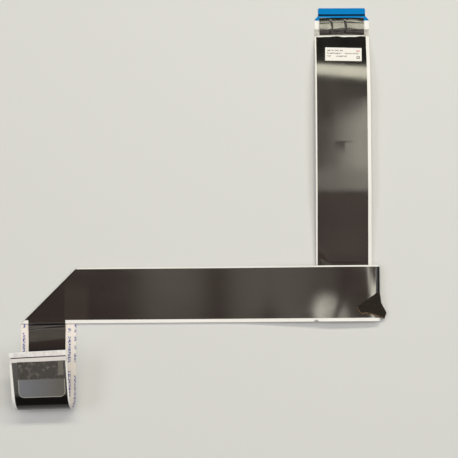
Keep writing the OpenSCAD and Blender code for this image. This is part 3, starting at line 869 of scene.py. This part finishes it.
class CABLE_OT_ribbon(Operator):
    """Make the white laminate, folded along its route"""

    bl_idname = "cable.ribbon"
    bl_label = "White laminate"

    def execute(self, context):
        """Each face is a grid of lines across the strip, between its two edges.

        The edges are the half width less a chain of lines, for the tip, the notches and the nick.
        The faces are level, less the bared places at both ends.
        """
        s, _, r = layout()
        tip_inset = r.half_w - s.tip_w / 2
        notch, nick = r.end_u - s.notch_at, r.hairpin_end + s.nick_at
        sides = np.array([
            (0, tip_inset + s.tip_chamfer), (s.tip_chamfer, tip_inset), (s.tip_l, tip_inset),
            (s.tip_l + s.shoulder_l, 0), (notch - s.notch_w / 2, 0), (notch, s.notch_d),
            (notch + s.notch_w / 2, 0)])
        nicked = np.array([(nick - s.nick_w / 2, 0), (nick, s.nick_d), (nick + s.nick_w / 2, 0)])
        cut = 0.1 * MM
        bared = np.array([(s.panel_bare_l, s.cover_t), (s.panel_bare_l + cut, 0)])
        strip_u = r.end_u - s.board_bare_l - s.groove_w
        stripped = np.array([(strip_u - cut, 0), (strip_u, s.cover_t)])
        places = np.concatenate([sides[:, 0], nicked[:, 0], bared[:, 0], stripped[:, 0]])
        u, slant = lines_across(0.0, r.end_u, places)
        low = -r.half_w + chain(u, sides)
        high = r.half_w - np.maximum(chain(u, sides), chain(u, nicked))
        v = low[:, None] + (high - low)[:, None] * np.linspace(0, 1, ACROSS)
        along = u[:, None] + v * slant[:, None]
        under = chain(u, bared)[:, None]
        over = s.cable_t - chain(u, stripped)[:, None]
        piece("white_laminate", *on_strip(along, v, under, over), laminate_material(),
              "white_laminate", "ribbon")
        context.scene["cable_path"] = laid(u, 0 * u, s.cable_t / 2 + 0 * u).ravel().tolist()
        return {"FINISHED"}


class CABLE_OT_film(Operator):
    """Make the black shield film on one face of the laminate"""

    bl_idname = "cable.film"
    bl_label = "Shield film"

    def execute(self, context):
        """Each face is a grid of lines across the film, whose wide margin drifts past the curl.

        The first lines are moved along by two sines of the place across, less and less up to a reach.
        """
        s, _, r = layout()
        end_drift, uneven_by, uneven_reach = 0.7 * MM, 0.22 * MM, 3 * MM
        u, slant = lines_across(r.shield_at, r.end_u - s.board_shield_at)
        low = -r.half_w + s.margin_narrow
        high = r.half_w - s.margin_wide + chain(u, [(r.curl_u, 0), (r.end_u, end_drift)])[:, None]
        v = low + (high - low) * np.linspace(0, 1, ACROSS)
        uneven = uneven_by * (np.sin(v / (2.3 * MM)) + 0.6 * np.sin(v / (1.1 * MM) + 1))
        start = np.clip(1 - (u - r.shield_at) / uneven_reach, 0, 1)[:, None]
        along = u[:, None] + v * slant[:, None] + uneven * start
        piece("black_film", *on_strip(along, v, s.cable_t, r.shield_top), film_material(),
              "shield_film", "shield_film")
        return {"FINISHED"}


class CABLE_OT_ends(Operator):
    """Finish the blue stiffeners and the bared contacts of both ends"""

    bl_idname = "cable.ends"
    bl_label = "Contacts and stiffeners"

    def execute(self, context):
        blue, tin = stiffener_material(), tin_material()
        for node in ("panel_stiffener", "board_stiffener"):
            finish_solid(node, blue)
        for node in ("panel_contacts", "board_contacts"):
            finish_solid(node, tin)
        return {"FINISHED"}


class CABLE_OT_wrap_tape(Operator):
    """Make the glossy wrinkled tape behind the tip"""

    bl_idname = "cable.wrap_tape"
    bl_label = "Glossy tape"

    def execute(self, context):
        """The height is an eased chain of lines along the tape, times a slack, less some creases.

        The chain is made wavy by a sine across the tape, and the slack is 1 and two sines. Each crease
        is a narrow hump across that sways by a sine, and all are deepest halfway along. Nowhere is
        the tape lower than the end of the stiffener under it, which it leaves by a slope.
        """
        s, t, r = layout()
        crease_depth, eased, ledge, slope = 0.28, 0.04, 0.5 * MM, 2 * MM
        a, b = grid(np.linspace(0, 1, 90), np.linspace(0, 1, 240))
        u, v = r.wrap_at + a * t.wrap_l, (b - 0.5) * t.wrap_w
        wavy = a + 0.035 * np.sin(5 * b - 1.2)
        slack = 1 + 0.07 * np.sin(5 * b + 0.5) + 0.06 * np.sin(11 * b + 2 + 2 * a)
        groove = 0
        for place, sway, turns, phase, width, depth in WRAP_CREASES:
            groove = groove + depth * hump(b, place + sway * np.sin(turns * a + phase), width)
        lift = (smooth(wavy, WRAP_RISE, eased) * slack - crease_depth * groove * hump(a, 0.5, 0.4)) * MM
        step = s.stiffener_t * np.clip(1 - (u - r.stiffener_l - ledge) / slope, 0, 1)
        under = s.cable_t + np.maximum(lift, step)
        piece("glossy_tape", *on_strip(u, v, under, under + t.wrap_t), wrap_material(),
              "glossy_tape", "wrap_tape")
        return {"FINISHED"}


class CABLE_OT_label(Operator):
    """Make the small label on the film, with plain marks for its print"""

    bl_idname = "cable.label"
    bl_label = "Label"

    def execute(self, context):
        _, t, r = layout()
        x, y = grid(np.linspace(-0.5, 0.5, 12) * t.label_w, np.linspace(-0.5, 0.5, 30) * t.label_l)
        cosine, sine = math.cos(t.label_turn), math.sin(t.label_turn)
        u, v = r.label_at + x * cosine + y * sine, t.label_side - x * sine + y * cosine
        flat = np.stack([x, y, 0 * x], -1)
        faces = [laid(u, v, w) for w in (r.shield_top, r.shield_top + t.label_t)]
        piece("white_label", faces, [flat, flat], label_material(), "label_film", "label")
        return {"FINISHED"}


class CABLE_OT_fold_tape(Operator):
    """Make the black tape that comes down from the run to the leg"""

    bl_idname = "cable.fold_tape"
    bl_label = "Fold tape"

    def execute(self, context):
        """The height is the fold's, times an eased chain of lines past the run's edge.

        Past that edge the chain leans: the place along it grows less on one side than on the other.
        """
        s, t, r = layout()
        lean, lean_reach, eased = 0.1, 3 * MM, 0.25
        edge = -r.half_w
        foot = edge + t.fold_tape_t + t.fold_tape_slope
        x, y = grid(np.linspace(edge - t.fold_tape_on_run, foot + t.fold_tape_on_leg, 110),
                    np.linspace(-0.5, 0.5, 40) * t.fold_tape_w)
        past = x - edge
        past = past - lean * y * np.clip(past / lean_reach, 0, 1)
        height = r.corner_h * smooth(past / MM, FOLD_TAPE_FALL, eased)
        place = seated(r.left_u + s.cable_w)
        side = y + t.fold_tape_side
        flat = np.stack([x, side, 0 * x], -1)
        faces = [place(x, side, w) for w in (-height - t.fold_tape_t, -height)]
        piece("film_tape", faces, [flat, flat], tape_material(), "film_tape", "fold_tape")
        return {"FINISHED"}


class CABLE_OT_corner_tape(Operator):
    """Make the torn piece of cloth tape at the hairpin"""

    bl_idname = "cable.corner_tape"
    bl_label = "Cloth tape"

    def execute(self, context):
        """Each face is a grid between two chains of straight lines, in shares of the tape's sizes.

        Two fine sines make both edges ragged. The tape lies on the run and on the start of the
        hairpin, and from there its tail goes straight on.
        """
        s, t, r = layout()
        lift_turn, ragged_by = math.pi / 6, 0.12 * MM
        lift = arc(lift_turn, s.hairpin_r)
        start, tail = -t.corner_tape_on_run, lift + t.corner_tape_tail

        def on_run(share, depth):
            return share * start, depth * t.corner_tape_w

        def on_tail(share, depth):
            return lift + share * t.corner_tape_tail, depth * t.corner_tape_w

        upper = np.array([on_run(1, 0.49), on_tail(0.13, 1), on_tail(0.28, 0.83), on_tail(0.36, 0.6),
                          on_tail(1, 0.29)])
        lower = np.array([on_run(1, 0.46), on_run(0.95, 0.385), on_run(0.8, 0.236), on_run(0.5, 0.26),
                          on_run(0.2, 0.205), on_run(0, 0.168), on_tail(0, 0.137), on_tail(0.74, 0.075),
                          on_tail(1, 0.267)])
        along = np.unique(np.concatenate([np.linspace(start, tail, 90), upper[:, 0], lower[:, 0]]))
        ragged = ragged_by * (np.sin(along / (0.31 * MM)) + np.sin(along / (0.17 * MM) + 2))
        low = r.half_w - chain(along, upper) + ragged / 2
        high = r.half_w - chain(along, lower) + ragged
        v = low[:, None] + (high - low)[:, None] * np.linspace(0, 1, 50)
        a = along[:, None] + 0 * v

        def place(w):
            follows = np.minimum(a, lift)
            here = laid(r.hairpin_end - follows, v, w)
            out = (laid(r.hairpin_end + 0 * v, v, w) - laid(r.hairpin_end + MM, v, w)) / MM
            past = (a - follows)[..., None]
            return here + past * (out * math.cos(lift_turn) - np.array([0, 0, math.sin(lift_turn)]))

        flat = np.stack([a, v, high[:, None] - v], -1)[:, ::-1]
        faces = [place(w)[:, ::-1] for w in (r.shield_top, r.shield_top + t.corner_tape_t)]
        piece("cloth_tape", faces, [flat, flat], cloth_material(), "cloth_tape", "corner_tape")
        return {"FINISHED"}


class CABLE_OT_pull_tab(Operator):
    """Make the smoky pull tab on the board end"""

    bl_idname = "cable.pull_tab"
    bl_label = "Pull tab"

    def execute(self, context):
        """Each face is a grid of lines across the tab, which reach to half its width on each side.

        In the free corners they are shorter, by the radius less the leg of a right triangle on it.
        """
        s, t, r = layout()
        turn = np.linspace(0, QUARTER, 14)
        rounded, straight = t.tab_r * (1 - np.cos(turn)), np.linspace(t.tab_r, t.tab_l, 40)[1:]
        x = np.concatenate([rounded, straight]) - t.tab_l
        corner = np.clip((t.tab_r - t.tab_l - x) / t.tab_r, 0, 1)
        reach = t.tab_w / 2 - t.tab_r * (1 - np.sqrt(1 - corner ** 2))
        y = reach[:, None] * np.linspace(-1, 1, 40)
        x = x[:, None] + 0 * y
        edge = np.minimum(x + t.tab_l, reach[:, None] - np.abs(y))
        flat = np.stack([x, y, edge], -1)
        cosine, sine = math.cos(t.tab_turn), math.sin(t.tab_turn)
        along, side = x * cosine + y * sine - s.board_shield_at, t.tab_side - x * sine + y * cosine
        place = seated(r.end_u)
        faces = [place(along, side, w + 0 * x) for w in (r.shield_top, r.shield_top + t.tab_t)]
        piece("smoky_tab", faces, [flat, flat], tab_material(), "tab_film", "pull_tab")
        return {"FINISHED"}


class CABLE_OT_declare(Operator):
    """Work out the sizes and the route of the cable"""

    bl_idname = "cable.declare"
    bl_label = "Free cable"

    def execute(self, context):
        s, _, r = layout()
        return {"FINISHED"}


class CABLE_PT_panel(Panel):
    """Lists the cable's pieces"""

    bl_idname = "CABLE_PT_panel"
    bl_label = "Ribbon cable"
    bl_space_type = "VIEW_3D"
    bl_region_type = "UI"
    bl_category = "Cable"

    def draw(self, context):
        for operator in OPERATORS:
            self.layout.operator(operator.bl_idname)


GROUPS = {"cable_sizes": CableSizes, "tape_sizes": TapeSizes, "cable_colours": CableColours,
          "cable_stage": StageSettings}
OPERATORS = (CABLE_OT_stage, CABLE_OT_ribbon, CABLE_OT_film, CABLE_OT_ends, CABLE_OT_wrap_tape,
             CABLE_OT_label, CABLE_OT_fold_tape, CABLE_OT_corner_tape, CABLE_OT_pull_tab,
             CABLE_OT_declare)
CLASSES = (*GROUPS.values(), *OPERATORS, CABLE_PT_panel)


def register():
    for cls in CLASSES:
        bpy.utils.register_class(cls)
    for name, group in GROUPS.items():
        setattr(bpy.types.Scene, name, PointerProperty(type=group))


def unregister():
    for name in GROUPS:
        delattr(bpy.types.Scene, name)
    for cls in reversed(CLASSES):
        bpy.utils.unregister_class(cls)


def main():
    register()
    for operator in OPERATORS:
        getattr(bpy.ops.cable, operator.bl_idname.split(".")[1])()


if __name__ == "__main__":
    main()
